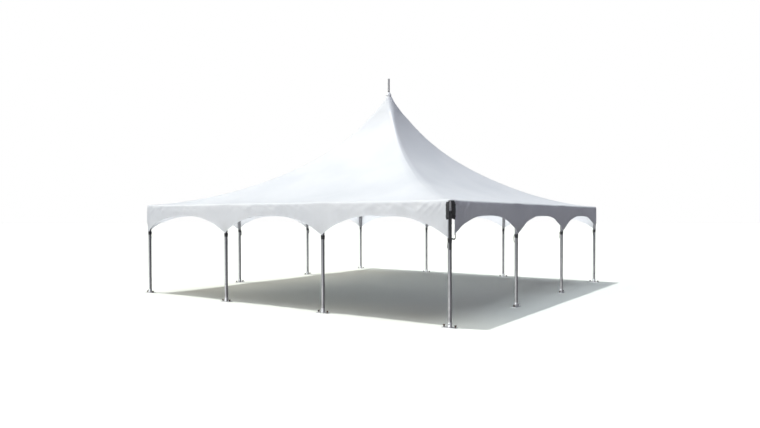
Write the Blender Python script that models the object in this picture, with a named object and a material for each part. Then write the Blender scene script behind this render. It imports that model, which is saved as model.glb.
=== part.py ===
"""Marquee tent: a square high-peak frame tent, three bays a side, in metres with +Z up.

The origin is on the ground at the middle of the tent. The front side faces -Y.
"""
import math

import bmesh
import bpy
from mathutils import Matrix, Vector

# Driving dimensions of the plan and the heights
bay = 3.048
bays = 3
half = bay * bays / 2
sideNames = ("front", "right", "back", "left")
cornerNames = ("front_left", "front_right", "back_right", "back_left")
railHeight = 2.292
peakRise = 3.31
spireTop = 6.0
fit = 0.0003

# Tubes, sleeves and sockets
tubeRadius = 0.030
legRadius = 0.037
sleeveRadius = 0.038
socketRadius = 0.0435
boreRadius = tubeRadius + fit
legBore = legRadius + fit
sleeveReach = 0.16
sleeveLength = 0.24
boreStart = 0.046
tubeSides = 20
peakSides = 32
seatGap = 0.0005

# Base plates
plateLength = 0.30
plateWidth = 0.14
plateThick = 0.008
collarHeight = 0.09
collarRadius = 0.044

# Canopy
clothThick = 0.006
valanceOffset = 0.052
canopyHalf = half + valanceOffset + clothThick / 2
scallopDepth = 0.29
tipDepth = 0.70
scallopPower = 2.6
panelSag = 0.10
throatHalf = 0.047
roundReach = 0.10
squareReach = 0.55
flareShare = 0.70
flarePower = 1.6
neckPower = 6.6
roofRings = 15
goreSteps = 8
eaveHeight = railHeight + sleeveRadius + fit - 0.0018
splitGap = 0.085

# Mast, hub and peak
hubRadius = 0.085
hubThick = 0.024
hubBottom = 2.12
hubCollar = 0.037
socketHeight = 0.10
mastTop = 5.63
headFlare = 0.11
capRadius = 0.072
capHeight = 0.05
spireRadius = 0.024
cableRadius = 0.006
lugLength = 0.055
lugThick = 0.014
lugHeight = 0.05
lugDrop = 0.082


def clearScene():
    for item in list(bpy.data.objects):
        bpy.data.objects.remove(item, do_unlink=True)


def makeMaterial(name, colour, roughness, metallic):
    material = bpy.data.materials.new(name)
    material.use_nodes = True
    shader = material.node_tree.nodes["Principled BSDF"]
    shader.inputs["Base Color"].default_value = (*colour, 1.0)
    shader.inputs["Roughness"].default_value = roughness
    shader.inputs["Metallic"].default_value = metallic
    return material


def place(name, mesh, material, location=(0, 0, 0), turn=0.0):
    """One named object of the scene, turned about the vertical."""
    item = bpy.data.objects.new(name, mesh)
    item.location = location
    item.rotation_euler = (0, 0, turn)
    if not mesh.materials:
        mesh.materials.append(material)
    bpy.context.scene.collection.objects.link(item)
    return item


def meshFrom(name, shape, smooth=True):
    mesh = bpy.data.meshes.new(name)
    shape.to_mesh(mesh)
    shape.free()
    if smooth:
        mesh.shade_smooth()
        mesh.set_sharp_from_angle(angle=math.radians(32))
    return mesh


def cylinderMesh(name, radius, start, end, sides=tubeSides):
    """A round bar between two points."""
    start, end = Vector(start), Vector(end)
    axis = end - start
    frame = Matrix.Translation((start + end) / 2) @ axis.to_track_quat("Z", "Y").to_matrix().to_4x4()
    shape = bmesh.new()
    bmesh.ops.create_cone(shape, cap_ends=True, segments=sides, radius1=radius, radius2=radius,
                          depth=axis.length, matrix=frame)
    return meshFrom(name, shape)


def boxMesh(name, low, high, turn=0.0):
    """A box between two corners, turned about the vertical through the origin."""
    low, high = Vector(low), Vector(high)
    size = high - low
    frame = Matrix.Rotation(turn, 4, "Z") @ Matrix.Translation((low + high) / 2) @ Matrix.Diagonal((*size, 1.0))
    shape = bmesh.new()
    bmesh.ops.create_cube(shape, size=1.0, matrix=frame)
    return meshFrom(name, shape, smooth=False)


def turnedMesh(name, profile, sides=tubeSides):
    """A solid of revolution about Z. The profile of (radius, height) points closes on itself or on the axis."""
    shape = bmesh.new()
    points = [shape.verts.new((radius, 0, height)) for radius, height in profile]
    pairs = list(zip(points, points[1:]))
    if profile[0][0] > 0:
        pairs.append((points[-1], points[0]))
    edges = [shape.edges.new(pair) for pair in pairs]
    bmesh.ops.spin(shape, geom=points + edges, cent=(0, 0, 0), axis=(0, 0, 1), angle=2 * math.pi,
                   steps=sides, use_merge=True, use_duplicate=False)
    bmesh.ops.remove_doubles(shape, verts=shape.verts, dist=0.00001)
    bmesh.ops.recalc_face_normals(shape, faces=shape.faces)
    return meshFrom(name, shape)


def combined(name, base, added=(), removed=()):
    """The union of some shapes less some others, as one mesh."""
    helpers = []
    item = bpy.data.objects.new(name + "_blank", base)
    bpy.context.scene.collection.objects.link(item)
    for operation, meshes in (("UNION", added), ("DIFFERENCE", removed)):
        for mesh in meshes:
            helper = bpy.data.objects.new(name + "_cutter", mesh)
            bpy.context.scene.collection.objects.link(helper)
            step = item.modifiers.new(operation.title(), "BOOLEAN")
            step.operation = operation
            step.solver = "EXACT"
            step.object = helper
            helpers.append(helper)
    bpy.context.view_layer.update()
    evaluated = item.evaluated_get(bpy.context.evaluated_depsgraph_get())
    mesh = bpy.data.meshes.new_from_object(evaluated)
    mesh.name = name
    for helper in helpers + [item]:
        bpy.data.objects.remove(helper, do_unlink=True)
    mesh.shade_smooth()
    mesh.set_sharp_from_angle(angle=math.radians(32))
    return mesh


def roofHeight(reach):
    """Height of the cloth's underside along a hip; reach is half the width of the roof there."""
    share = 1 - reach / canopyHalf
    return eaveHeight + peakRise * (flareShare * share ** flarePower + (1 - flareShare) * share ** neckPower)


def clothTop(reach):
    """Height of the cloth's outer face, one thickness above its underside along the normal."""
    share = 1 - reach / canopyHalf
    slope = peakRise / canopyHalf * (flareShare * flarePower * share ** (flarePower - 1)
                                     + (1 - flareShare) * neckPower * share ** (neckPower - 1))
    return roofHeight(reach) + clothThick * math.hypot(1, slope)


def roofPoint(reach, along, height):
    """A point on one gore; along runs from -1 to 1 between its hips. The throat is round, the eave square."""
    blend = min(max((reach - roundReach) / (squareReach - roundReach), 0.0), 1.0)
    blend = blend * blend * (3 - 2 * blend)
    rounded = Vector((math.sin(along * math.pi / 4), -math.cos(along * math.pi / 4)))
    plan = rounded.lerp(Vector((along, -1.0)), blend) * reach
    share = reach / canopyHalf
    sag = panelSag * blend * 6.75 * share * (1 - share) ** 2 * (1 - along * along)
    return Vector((plan.x, plan.y, height - sag))


def roofReaches():
    """Rings of the roof, closer together near the peak."""
    spread = canopyHalf - capRadius
    return [throatHalf] + [capRadius + spread * (i / roofRings) ** 1.7 for i in range(roofRings + 1)]


def buildRoof(material):
    """The roof cloth in four gores that meet along the hips, each a closed sheet."""
    reaches = roofReaches()
    shape = bmesh.new()
    grids = []
    for heightAt in (clothTop, roofHeight):
        grid = []
        for reach in reaches:
            row = []
            for step in range(goreSteps + 1):
                point = roofPoint(reach, -1 + 2 * step / goreSteps, heightAt(reach))
                if step in (0, goreSteps):
                    point.x -= math.copysign(fit * 0.75, point.x)
                row.append(shape.verts.new(point))
            grid.append(row)
        grids.append(grid)
    over, under = grids
    for inner, outer in zip(range(len(reaches)), range(1, len(reaches))):
        for i in range(goreSteps):
            shape.faces.new((over[inner][i], over[outer][i], over[outer][i + 1], over[inner][i + 1]))
            shape.faces.new((under[inner][i + 1], under[outer][i + 1], under[outer][i], under[inner][i]))
        for i in (0, goreSteps):
            shape.faces.new((over[inner][i], over[outer][i], under[outer][i], under[inner][i]))
    for ring in (0, -1):
        for i in range(goreSteps):
            shape.faces.new((over[ring][i], over[ring][i + 1], under[ring][i + 1], under[ring][i]))
    bmesh.ops.recalc_face_normals(shape, faces=shape.faces)
    gore = meshFrom("canopy_gore", shape)
    for side, name in enumerate(sideNames):
        place("canopy_" + name, gore, material, turn=side * math.pi / 2)


def scallopBottom(position):
    """Depth of the valance's lower edge below the eave at a place along its side."""
    phase = ((position + half) / bay) % 1.0
    offset = abs(2 * phase - 1)
    return scallopDepth + (tipDepth - scallopDepth) * offset ** scallopPower


def buildValance(name, left, right, turn, material):
    """One side's hanging valance, with three arches between the legs."""
    steps = 16
    stops = [left]
    for leg in range(bays):
        start = -half + leg * bay
        for step in range(steps + 1):
            stops.append(start + bay * (1 - math.cos(math.pi * step / steps)) / 2)
    stops.append(right)
    stops = sorted({round(stop, 5) for stop in stops if left <= stop <= right})
    top = roofHeight(canopyHalf) - fit
    eave = top + clothThick
    near = -(half + valanceOffset - clothThick / 2)
    far = -(half + valanceOffset + clothThick / 2)
    shape = bmesh.new()
    columns = []
    for stop in stops:
        inside = min(max(stop, -half), half)
        bottom = eave - scallopBottom(inside) if abs(stop) < half - fit else eave - tipDepth
        columns.append([shape.verts.new((stop, y, z)) for y, z in
                        ((far, bottom), (far, top), (near, top), (near, bottom))])
    for a, b in zip(columns, columns[1:]):
        for i in range(4):
            j = (i + 1) % 4
            shape.faces.new((a[i], b[i], b[j], a[j]))
    shape.faces.new(columns[0])
    shape.faces.new(columns[-1][::-1])
    bmesh.ops.recalc_face_normals(shape, faces=shape.faces)
    place(name, meshFrom(name, shape), material, turn=turn)


def legPlaces():
    """The twelve legs, anticlockwise from the front left corner, with the turn of each base plate."""
    places = []
    for side, name in enumerate(sideNames):
        spin = Matrix.Rotation(side * math.pi / 2, 3, "Z")
        for step in range(bays):
            point = spin @ Vector((-half + step * bay, -half, 0))
            kind = "corner" if step == 0 else str(step)
            turn = 0.0 if step == 0 else side * math.pi / 2
            places.append((f"{name}_{kind}", point, turn))
    return places


def buildLegs(steel, aluminium):
    collar = turnedMesh("collar", [(legBore, plateThick - 0.002), (collarRadius, plateThick - 0.002),
                                   (collarRadius, plateThick + collarHeight),
                                   (legBore, plateThick + collarHeight)])
    plate = boxMesh("plate", (-plateLength / 2, -plateWidth / 2, 0),
                    (plateLength / 2, plateWidth / 2, plateThick))
    base = combined("base_plate", plate, added=[collar])
    top = railHeight - boreStart - fit
    leg = cylinderMesh("leg", legRadius, (0, 0, plateThick + fit), (0, 0, top))
    for name, point, turn in legPlaces():
        place("leg_" + name, leg, aluminium, point)
        place("base_" + name, base, steel, point, turn)


def buildRails(material):
    """Each side's eave rail: a tube through two tee fittings that the middle legs stand up into."""
    reach = half - boreStart - fit
    tube = cylinderMesh("tube", tubeRadius, (-reach, 0, 0), (reach, 0, 0))
    added, removed = [], []
    for leg in (-bay / 2, bay / 2):
        added.append(cylinderMesh("sleeve", sleeveRadius, (leg - sleeveLength / 2, 0, 0),
                                  (leg + sleeveLength / 2, 0, 0)))
        added.append(cylinderMesh("socket", socketRadius, (leg, 0, -0.012), (leg, 0, -sleeveReach)))
        removed.append(cylinderMesh("bore", legBore, (leg, 0, -boreStart), (leg, 0, -sleeveReach - 0.01)))
    rail = combined("eave_rail", tube, added, removed)
    for side, name in enumerate(sideNames):
        turn = side * math.pi / 2
        point = Matrix.Rotation(turn, 3, "Z") @ Vector((0, -half, railHeight))
        place("rail_" + name, rail, material, point, turn)


def buildCorners(material):
    """Three-way corner fittings, each with a lug for the cable that runs to the mast's foot."""
    lower = cylinderMesh("lower", socketRadius, (0, 0, sleeveRadius - 0.004), (0, 0, -sleeveReach))
    along = cylinderMesh("along", sleeveRadius, (-sleeveRadius, 0, 0), (sleeveReach, 0, 0))
    inward = cylinderMesh("inward", sleeveRadius, (0, -sleeveRadius, 0), (0, sleeveReach, 0))
    lug = boxMesh("lug", (socketRadius - 0.006, -lugThick / 2, -lugDrop - lugHeight / 2),
                  (sleeveRadius + lugLength, lugThick / 2, -lugDrop + lugHeight / 2), turn=math.pi / 4)
    bores = [cylinderMesh("bore", boreRadius, (boreStart, 0, 0), (sleeveReach + 0.01, 0, 0)),
             cylinderMesh("bore", boreRadius, (0, boreStart, 0), (0, sleeveReach + 0.01, 0)),
             cylinderMesh("bore", legBore, (0, 0, -boreStart), (0, 0, -sleeveReach - 0.01))]
    corner = combined("corner_fitting", lower, [along, inward, lug], bores)
    for side, name in enumerate(cornerNames):
        turn = side * math.pi / 2
        point = Matrix.Rotation(turn, 3, "Z") @ Vector((-half, -half, railHeight))
        place("corner_" + name, corner, material, point, turn)


def buildMast(steel, aluminium):
    """The suspended mast: a hub on four cables, the tube, the peak's cap and the finial."""
    hubTop = hubBottom + hubThick
    plate = bmesh.new()
    bmesh.ops.create_cone(plate, cap_ends=True, segments=8, radius1=hubRadius / math.cos(math.pi / 8),
                          radius2=hubRadius / math.cos(math.pi / 8), depth=hubThick,
                          matrix=Matrix.Translation((0, 0, hubBottom + hubThick / 2))
                          @ Matrix.Rotation(math.pi / 8, 4, "Z"))
    socket = turnedMesh("socket", [(boreRadius, hubTop - 0.002), (hubCollar, hubTop - 0.002),
                                   (hubCollar, hubTop + socketHeight), (boreRadius, hubTop + socketHeight)],
                        sides=peakSides)
    place("mast_hub", combined("mast_hub", meshFrom("hub_plate", plate), added=[socket]), steel)

    shoulder = roofHeight(capRadius) - seatGap
    throat = roofHeight(throatHalf) - seatGap
    mast = turnedMesh("mast", [(0, hubTop + fit), (tubeRadius, hubTop + fit), (tubeRadius, shoulder - headFlare),
                               (capRadius, shoulder - 0.012), (capRadius, shoulder), (throatHalf, throat),
                               (tubeRadius, throat), (tubeRadius, mastTop), (0, mastTop)], sides=peakSides)
    place("mast", mast, aluminium)


def buildCables(material):
    """Four taut cables from the corner fittings' lugs to the mast's hub."""
    start = half - (sleeveRadius + lugLength + fit) / math.sqrt(2)
    startHeight = railHeight - lugDrop
    end = (hubRadius + fit) / math.sqrt(2)
    endHeight = hubBottom + hubThick / 2
    bar = cylinderMesh("cable", cableRadius, (-start, -start, startHeight), (-end, -end, endHeight), sides=10)
    for side, name in enumerate(cornerNames):
        place("cable_" + name, bar, material, turn=side * math.pi / 2)


def buildPeak(steel, aluminium):
    """The cap that closes the cloth's throat, and the finial on the mast's top."""
    skirt = clothTop(capRadius) + seatGap
    crown = clothTop(throatHalf) + seatGap
    cap = turnedMesh("peak_cap", [(capRadius, skirt), (throatHalf, crown), (boreRadius, crown + 0.002),
                                  (boreRadius, crown + capHeight), (sleeveRadius, crown + capHeight),
                                  (throatHalf + 0.008, crown + 0.014), (capRadius + 0.006, skirt + 0.006)],
                     sides=peakSides)
    place("peak_cap", cap, steel)
    bottom = mastTop + fit
    dome = [(spireRadius * math.cos(step * math.pi / 12),
             spireTop - spireRadius + spireRadius * math.sin(step * math.pi / 12)) for step in range(6)]
    spire = turnedMesh("spire", [(0, bottom), (tubeRadius, bottom), (tubeRadius, bottom + 0.05),
                                 (spireRadius, bottom + 0.062), *dome, (0, spireTop)], sides=peakSides)
    place("spire", spire, aluminium)


def build():
    clearScene()
    vinyl = makeMaterial("white_vinyl", (0.86, 0.88, 0.90), 0.42, 0.0)
    steel = makeMaterial("galvanised_steel", (0.50, 0.51, 0.52), 0.45, 1.0)
    aluminium = makeMaterial("mill_aluminium", (0.62, 0.63, 0.65), 0.38, 1.0)
    buildLegs(steel, aluminium)
    buildRails(aluminium)
    buildCorners(steel)
    buildMast(steel, aluminium)
    buildCables(steel)
    buildPeak(steel, aluminium)
    buildRoof(vinyl)
    inner = half + valanceOffset - clothThick / 2 - fit
    outer = half + valanceOffset + clothThick / 2
    buildValance("valance_front", -outer, half, 0.0, vinyl)
    buildValance("valance_right", -half + splitGap, inner, math.pi / 2, vinyl)
    buildValance("valance_back", -outer, outer, math.pi, vinyl)
    buildValance("valance_left", -inner, inner, -math.pi / 2, vinyl)


build()
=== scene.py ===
import math

import bmesh
import bpy
from mathutils import Matrix, Vector, noise


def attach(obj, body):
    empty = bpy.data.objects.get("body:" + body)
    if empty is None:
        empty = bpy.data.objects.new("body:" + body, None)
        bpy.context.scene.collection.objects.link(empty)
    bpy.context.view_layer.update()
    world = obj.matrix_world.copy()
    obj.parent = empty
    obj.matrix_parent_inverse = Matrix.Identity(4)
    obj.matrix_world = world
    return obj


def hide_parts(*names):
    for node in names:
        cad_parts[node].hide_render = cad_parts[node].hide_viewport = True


# Marquee tent: the looks, in metres, +Z up. The front side faces -Y and the near corner is front right.
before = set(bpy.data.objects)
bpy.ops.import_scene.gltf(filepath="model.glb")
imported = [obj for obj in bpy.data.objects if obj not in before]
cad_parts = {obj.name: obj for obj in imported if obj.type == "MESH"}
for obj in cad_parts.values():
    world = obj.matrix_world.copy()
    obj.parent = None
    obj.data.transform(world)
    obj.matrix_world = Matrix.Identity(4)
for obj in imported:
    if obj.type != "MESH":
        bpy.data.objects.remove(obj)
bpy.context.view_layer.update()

sideNames = ("front", "right", "back", "left")
cornerNames = ("front_left", "front_right", "back_right", "back_left")
plan = {
    "half": 4.572,          # middle of the tent to a leg's centre
    "bay": 3.048,           # leg to leg
    "railHeight": 2.292,    # centre of the eave tubes
    "tube": 0.030,          # radius of the eave tubes and the mast
    "leg": 0.037,           # radius of the legs
    "play": 0.0003,         # room between a tube and what it stands in
}
middleLeg = plan["bay"] / 2     # middle of a side to either of its two middle legs
eighthTurn = math.pi / 4
still = Matrix.Identity(4)
up = Vector((0, 0, 1))


def linked(name, data):
    item = bpy.data.objects.new(name, data)
    bpy.context.scene.collection.objects.link(item)
    return item


# Camera at the photograph's angle, matched to the feet and the corners of the eave
cameraPlan = {
    "lens": 28.1, "sensor": 36.0, "farthest": 400,
    "place": (9.847, -13.996, 2.009), "azimuth": 33.55, "lookDown": 1.0,
    "shiftX": -0.033, "shiftY": 0.018,
}


def makeCamera():
    view = cameraPlan
    data = bpy.data.cameras.new("camera")
    data.lens = view["lens"]
    data.sensor_width = view["sensor"]
    data.shift_x = view["shiftX"]
    data.shift_y = view["shiftY"]
    data.clip_end = view["farthest"]
    camera = linked("camera", data)
    camera.location = view["place"]
    camera.rotation_euler = (math.radians(90 - view["lookDown"]), 0, math.radians(view["azimuth"]))
    bpy.context.scene.camera = camera


makeCamera()
print("camera placed")


# Shader helpers
def setInputs(tree, node, inputs):
    for key, value in inputs.items():
        if isinstance(value, bpy.types.NodeSocket):
            tree.links.new(value, node.inputs[key])
        else:
            node.inputs[key].default_value = value


def addNode(tree, kind, inputs=None, **settings):
    node = tree.nodes.new(kind)
    for key, value in settings.items():
        setattr(node, key, value)
    setInputs(tree, node, inputs or {})
    return node


def mapped(tree, value, low, high, start=0.0, end=1.0):     # low..high becomes start..end
    return addNode(tree, "ShaderNodeMapRange", {0: value, 1: low, 2: high, 3: start, 4: end}).outputs[0]


def mixed(tree, share, first, second):
    return addNode(tree, "ShaderNodeMix", {0: share, 6: first, 7: second}, data_type="RGBA").outputs[2]


def patched(tree, mask, low, high, first, second, most=1.0):        # second where the mask is high
    return mixed(tree, mapped(tree, mask, low, high, 0, most), first, second)


def worked(tree, operation, first, second):
    return addNode(tree, "ShaderNodeMath", {0: first, 1: second}, operation=operation).outputs[0]


def noisy(tree, place, scale, detail=2.0, distortion=0.0, roughness=0.5):
    return addNode(tree, "ShaderNodeTexNoise", {"Vector": place, "Scale": scale, "Detail": detail,
                                                "Distortion": distortion, "Roughness": roughness}).outputs[0]


def striped(tree, place, scale, way="X"):
    inputs = {"Vector": place, "Scale": scale}
    return addNode(tree, "ShaderNodeTexWave", inputs, bands_direction=way).outputs[1]


def stretched(tree, place, scale, turn=(0, 0, 0)):
    return addNode(tree, "ShaderNodeMapping", {"Vector": place, "Scale": scale, "Rotation": turn}).outputs[0]


def bumped(tree, height, strength, distance, before=None):
    inputs = {"Height": height, "Strength": strength, "Distance": distance}
    if before is not None:
        inputs["Normal"] = before
    return addNode(tree, "ShaderNodeBump", inputs).outputs[0]


def makeLook(name, look, *details):     # each look returns the inputs of its material's shader
    material = bpy.data.materials.new(name)
    material.use_nodes = True
    tree = material.node_tree
    place = addNode(tree, "ShaderNodeTexCoord").outputs["Object"]
    setInputs(tree, tree.nodes["Principled BSDF"], look(tree, place, *details))
    return material


# White coated vinyl: cloudy tone, faint woven scrim, soft creases where it is slack, some soil at the hem
vinylPlan = {
    "clean": (0.885, 0.905, 0.93, 1), "dull": (0.835, 0.86, 0.89, 1), "soil": (0.60, 0.585, 0.54, 1),
    "through": 0.24,        # share of the light that the cloth lets through
    "scrim": 31.0,          # scale of the threads' stripes
    "creaseDepth": 0.014,
}


def vinylLook(tree, place):
    cloth = addNode(tree, "ShaderNodeUVMap", uv_map="cloth").outputs[0]
    soil = addNode(tree, "ShaderNodeAttribute", attribute_name="soil").outputs["Fac"]
    slack = addNode(tree, "ShaderNodeAttribute", attribute_name="slack").outputs["Fac"]
    fine = noisy(tree, place, 9.0, 5, 0.2, 0.6)
    streaks = noisy(tree, stretched(tree, cloth, (7.0, 0.8, 1.0)), 1.0, 3)
    creases = noisy(tree, stretched(tree, cloth, (4.5, 2.6, 1.0), (0, 0, 0.6)), 1.0, 4, 1.1, 0.55)
    tone = patched(tree, noisy(tree, place, 0.7, 4, 0.3), 0.38, 0.64, vinylPlan["clean"], vinylPlan["dull"])
    soiled = worked(tree, "MULTIPLY", soil, mapped(tree, worked(tree, "ADD", fine, streaks), 0.75, 1.35))
    tone = mixed(tree, soiled, tone, vinylPlan["soil"])
    threads = [striped(tree, cloth, vinylPlan["scrim"], way) for way in ("X", "Y")]
    scrim = worked(tree, "ADD", *threads)
    normal = bumped(tree, worked(tree, "MULTIPLY", creases, slack), 0.8, vinylPlan["creaseDepth"])
    normal = bumped(tree, scrim, 0.10, 0.0003, normal)
    face = tree.nodes["Principled BSDF"].outputs[0]
    through = addNode(tree, "ShaderNodeBsdfTranslucent", {"Color": tone, "Normal": normal}).outputs[0]
    both = addNode(tree, "ShaderNodeMixShader", {0: vinylPlan["through"], 1: face, 2: through}).outputs[0]
    setInputs(tree, tree.nodes["Material Output"], {"Surface": both})
    return {"Base Color": tone, "Roughness": mapped(tree, fine, 0.3, 0.7, 0.40, 0.54), "Normal": normal}


# Satin aluminium tube: fine streaks along the tube, duller scuffs, and a lighter lower part on the legs that
# fades out upwards: patchy dust and painted light from the ground
tubePlan = {"across": 120.0, "along": 1.6, "dustAndGroundLightEnd": 1.35, "dustAndGroundLightFull": 0.45}
# dusty: the pale tone of the legs' lower part, both dust and painted ground light
frameTones = {"bright": (0.27, 0.275, 0.285, 1), "grey": (0.17, 0.175, 0.185, 1),
              "scuff": (0.13, 0.135, 0.14, 1), "dusty": (0.52, 0.52, 0.51, 1)}
finialTones = {"bright": (0.53, 0.54, 0.55, 1), "grey": (0.41, 0.42, 0.43, 1),      # paler than the frame
               "scuff": (0.32, 0.32, 0.33, 1), "dusty": (0.54, 0.54, 0.53, 1)}


def tubeLook(tree, place, axis, tones):
    scale = [tubePlan["across"]] * 3
    scale[axis] = tubePlan["along"]
    streaks = noisy(tree, stretched(tree, place, scale), 1.0, 4, 0, 0.65)
    scuffs = noisy(tree, place, 14.0, 6, 0.6, 0.7)
    tone = patched(tree, streaks, 0.3, 0.7, tones["bright"], tones["grey"])
    tone = patched(tree, scuffs, 0.58, 0.72, tone, tones["scuff"], 0.55)
    height = addNode(tree, "ShaderNodeSeparateXYZ", {0: place}).outputs[2]
    # lighter towards the foot: real dust in patches, and painted light from the ground
    low = mapped(tree, height, tubePlan["dustAndGroundLightEnd"], tubePlan["dustAndGroundLightFull"])
    dust = worked(tree, "MULTIPLY", low, mapped(tree, scuffs, 0.30, 0.62, 0.50, 0.20))
    rough = mapped(tree, streaks, 0.3, 0.7, 0.34, 0.46)
    rough = worked(tree, "ADD", rough, mapped(tree, scuffs, 0.5, 0.75, 0, 0.18))
    return {"Base Color": mixed(tree, dust, tone, tones["dusty"]), "Metallic": 0.6, "Roughness": rough,
            "Normal": bumped(tree, streaks, 0.25, 0.0004)}


# Hot-dip zinc: crystal spangle with dull bloom
zincPlan = {"light": (0.68, 0.69, 0.70, 1), "dark": (0.48, 0.49, 0.50, 1), "bloom": (0.72, 0.72, 0.70, 1),
            "spangle": 85.0}


def zincLook(tree, place):
    inputs = {"Vector": place, "Scale": zincPlan["spangle"]}
    cells = addNode(tree, "ShaderNodeTexVoronoi", inputs).outputs["Color"]
    grain = noisy(tree, cells, 3.0, 1)
    bloom = noisy(tree, place, 11.0, 6, 0.8, 0.65)
    tone = patched(tree, grain, 0.3, 0.7, zincPlan["light"], zincPlan["dark"])
    rough = mapped(tree, grain, 0.3, 0.7, 0.36, 0.5)
    rough = worked(tree, "ADD", rough, mapped(tree, bloom, 0.5, 0.75, 0, 0.2))
    return {"Base Color": patched(tree, bloom, 0.5, 0.7, tone, zincPlan["bloom"], 0.6), "Metallic": 0.7,
            "Roughness": rough, "Normal": bumped(tree, bloom, 0.3, 0.0008)}


# Off-white paint on the peak cap: brushed on, specked with dust, chalky where it has weathered
paintPlan = {"fresh": (0.86, 0.88, 0.905, 1), "chalky": (0.78, 0.80, 0.825, 1), "dust": (0.62, 0.60, 0.56, 1)}


def paintLook(tree, place):
    weather = noisy(tree, place, 16.0, 5, 0.6, 0.6)
    brush = noisy(tree, stretched(tree, place, (60, 60, 420)), 1.0, 2)
    tone = patched(tree, weather, 0.4, 0.65, paintPlan["fresh"], paintPlan["chalky"])
    tone = patched(tree, noisy(tree, place, 95.0, 3), 0.60, 0.72, tone, paintPlan["dust"], 0.35)
    return {"Base Color": tone, "Roughness": mapped(tree, weather, 0.35, 0.65, 0.48, 0.66),
            "Normal": bumped(tree, brush, 0.25, 0.0006)}


# Dark steel: forged stakes with rust in patches, and blackened buckles rubbed grey
forgePlan = {"black": (0.055, 0.054, 0.055, 1),
             "rust": (0.17, 0.085, 0.045, 1), "rubbed": (0.11, 0.11, 0.115, 1)}


def forgedLook(tree, place, patch):
    patches = noisy(tree, place, 38.0, 6, 0.6, 0.68)
    normal = bumped(tree, noisy(tree, place, 160.0, 3), 0.5, 0.0006, bumped(tree, patches, 0.4, 0.0015))
    return {"Base Color": patched(tree, patches, 0.45, 0.62, forgePlan["black"], patch), "Metallic": 0.55,
            "Roughness": mapped(tree, patches, 0.4, 0.65, 0.5, 0.82), "Normal": normal}


# Bright drawn wire for the rope and the small hardware
wirePlan = {"bright": (0.55, 0.56, 0.57, 1), "dusty": (0.30, 0.30, 0.30, 1)}


def wireLook(tree, place):
    dust = noisy(tree, place, 45.0, 5, 0.3, 0.6)
    tone = patched(tree, dust, 0.4, 0.68, wirePlan["bright"], wirePlan["dusty"])
    return {"Base Color": tone, "Metallic": 1.0, "Roughness": mapped(tree, dust, 0.35, 0.7, 0.28, 0.52),
            "Normal": bumped(tree, dust, 0.2, 0.0003)}


# Black polyester webbing, ribbed along its length and herringboned across
webbingPlan = {"dark": (0.016, 0.0165, 0.018, 1), "faded": (0.045, 0.045, 0.048, 1),
               "chevron": 150.0, "rib": 105.0}


def webbingLook(tree, place):
    strap = addNode(tree, "ShaderNodeUVMap", uv_map="strap").outputs[0]
    wear = noisy(tree, strap, 26.0, 5, 0.3, 0.6)
    chevron = striped(tree, stretched(tree, strap, (1, 1, 1), (0, 0, 0.785)), webbingPlan["chevron"])
    woven = worked(tree, "ADD", chevron, striped(tree, strap, webbingPlan["rib"]))
    tone = patched(tree, wear, 0.42, 0.7, webbingPlan["dark"], webbingPlan["faded"])
    tone = patched(tree, chevron, 0.2, 0.9, tone, webbingPlan["faded"], 0.35)
    return {"Base Color": tone, "Roughness": mapped(tree, wear, 0.3, 0.7, 0.72, 0.9), "Sheen Weight": 0.25,
            "Normal": bumped(tree, woven, 0.5, 0.0005)}


vinyl = makeLook("whiteVinyl", vinylLook)
crossMetal = makeLook("crossAluminium", tubeLook, 0, frameTones)
depthMetal = makeLook("depthAluminium", tubeLook, 1, frameTones)
legMetal = makeLook("legAluminium", tubeLook, 2, frameTones)
finialMetal = makeLook("finialAluminium", tubeLook, 2, finialTones)
zinc = makeLook("galvanisedSteel", zincLook)
capPaint = makeLook("whitePaint", paintLook)
forged = makeLook("forgedSteel", forgedLook, forgePlan["rust"])
blackened = makeLook("blackenedSteel", forgedLook, forgePlan["rubbed"])
wire = makeLook("wireSteel", wireLook)
webbing = makeLook("blackWebbing", webbingLook)
print("materials made")


# Mesh helpers: each part is a bmesh of its own, and a piece gathers its parts
def turnedPart(profile, steps=40):      # a closed loop of (radius, height), or from the axis to the axis
    part = bmesh.new()
    points = [part.verts.new((radius, 0, height)) for radius, height in profile]
    edges = [part.edges.new(pair) for pair in zip(points, points[1:])]
    if profile[0][0] > 0:
        edges.append(part.edges.new((points[-1], points[0])))
    bmesh.ops.spin(part, geom=points + edges, cent=(0, 0, 0), axis=(0, 0, 1), angle=math.tau, steps=steps,
                   use_merge=True, use_duplicate=False)
    bmesh.ops.remove_doubles(part, verts=part.verts, dist=0.00001)
    bmesh.ops.recalc_face_normals(part, faces=part.faces)
    return part


def tubePart(outer, inner, low, high, chamfer=0.001, steps=40):
    return turnedPart([(inner, low), (outer - chamfer, low), (outer, low + chamfer), (outer, high - chamfer),
                       (outer - chamfer, high), (inner, high)], steps)


def rodPart(radius, low, high, chamfer=0.001, steps=20):
    return tubePart(radius, 0, low, high, chamfer, steps)


def ringPart(radius, thick, steps=32, around=10):       # a ring of round bar
    turns = [math.tau * i / around for i in range(around)]
    return turnedPart([(radius + thick * math.cos(turn), thick * math.sin(turn)) for turn in turns], steps)


def cubePart(size, place=still):
    part = bmesh.new()
    bmesh.ops.create_cube(part, size=1.0, matrix=place @ Matrix.Diagonal((*size, 1.0)))
    return part


def bevelled(part, edges, offset, segments=2):
    bmesh.ops.bevel(part, geom=edges, offset=offset, segments=segments, profile=0.5, affect="EDGES",
                    material=-1)
    return part


def blockPart(size, bevel, segments=2):
    block = cubePart(size)
    return bevelled(block, block.edges[:], bevel, segments)


def prismPart(sides, radius, low, high, bevel):     # a nut, a bolt's head or an octagonal plate
    part = bmesh.new()
    bmesh.ops.create_cone(part, cap_ends=True, segments=sides, radius1=radius, radius2=radius,
                          depth=high - low, matrix=Matrix.Translation(up * ((low + high) / 2)))
    return bevelled(part, part.edges[:], bevel)


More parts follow.
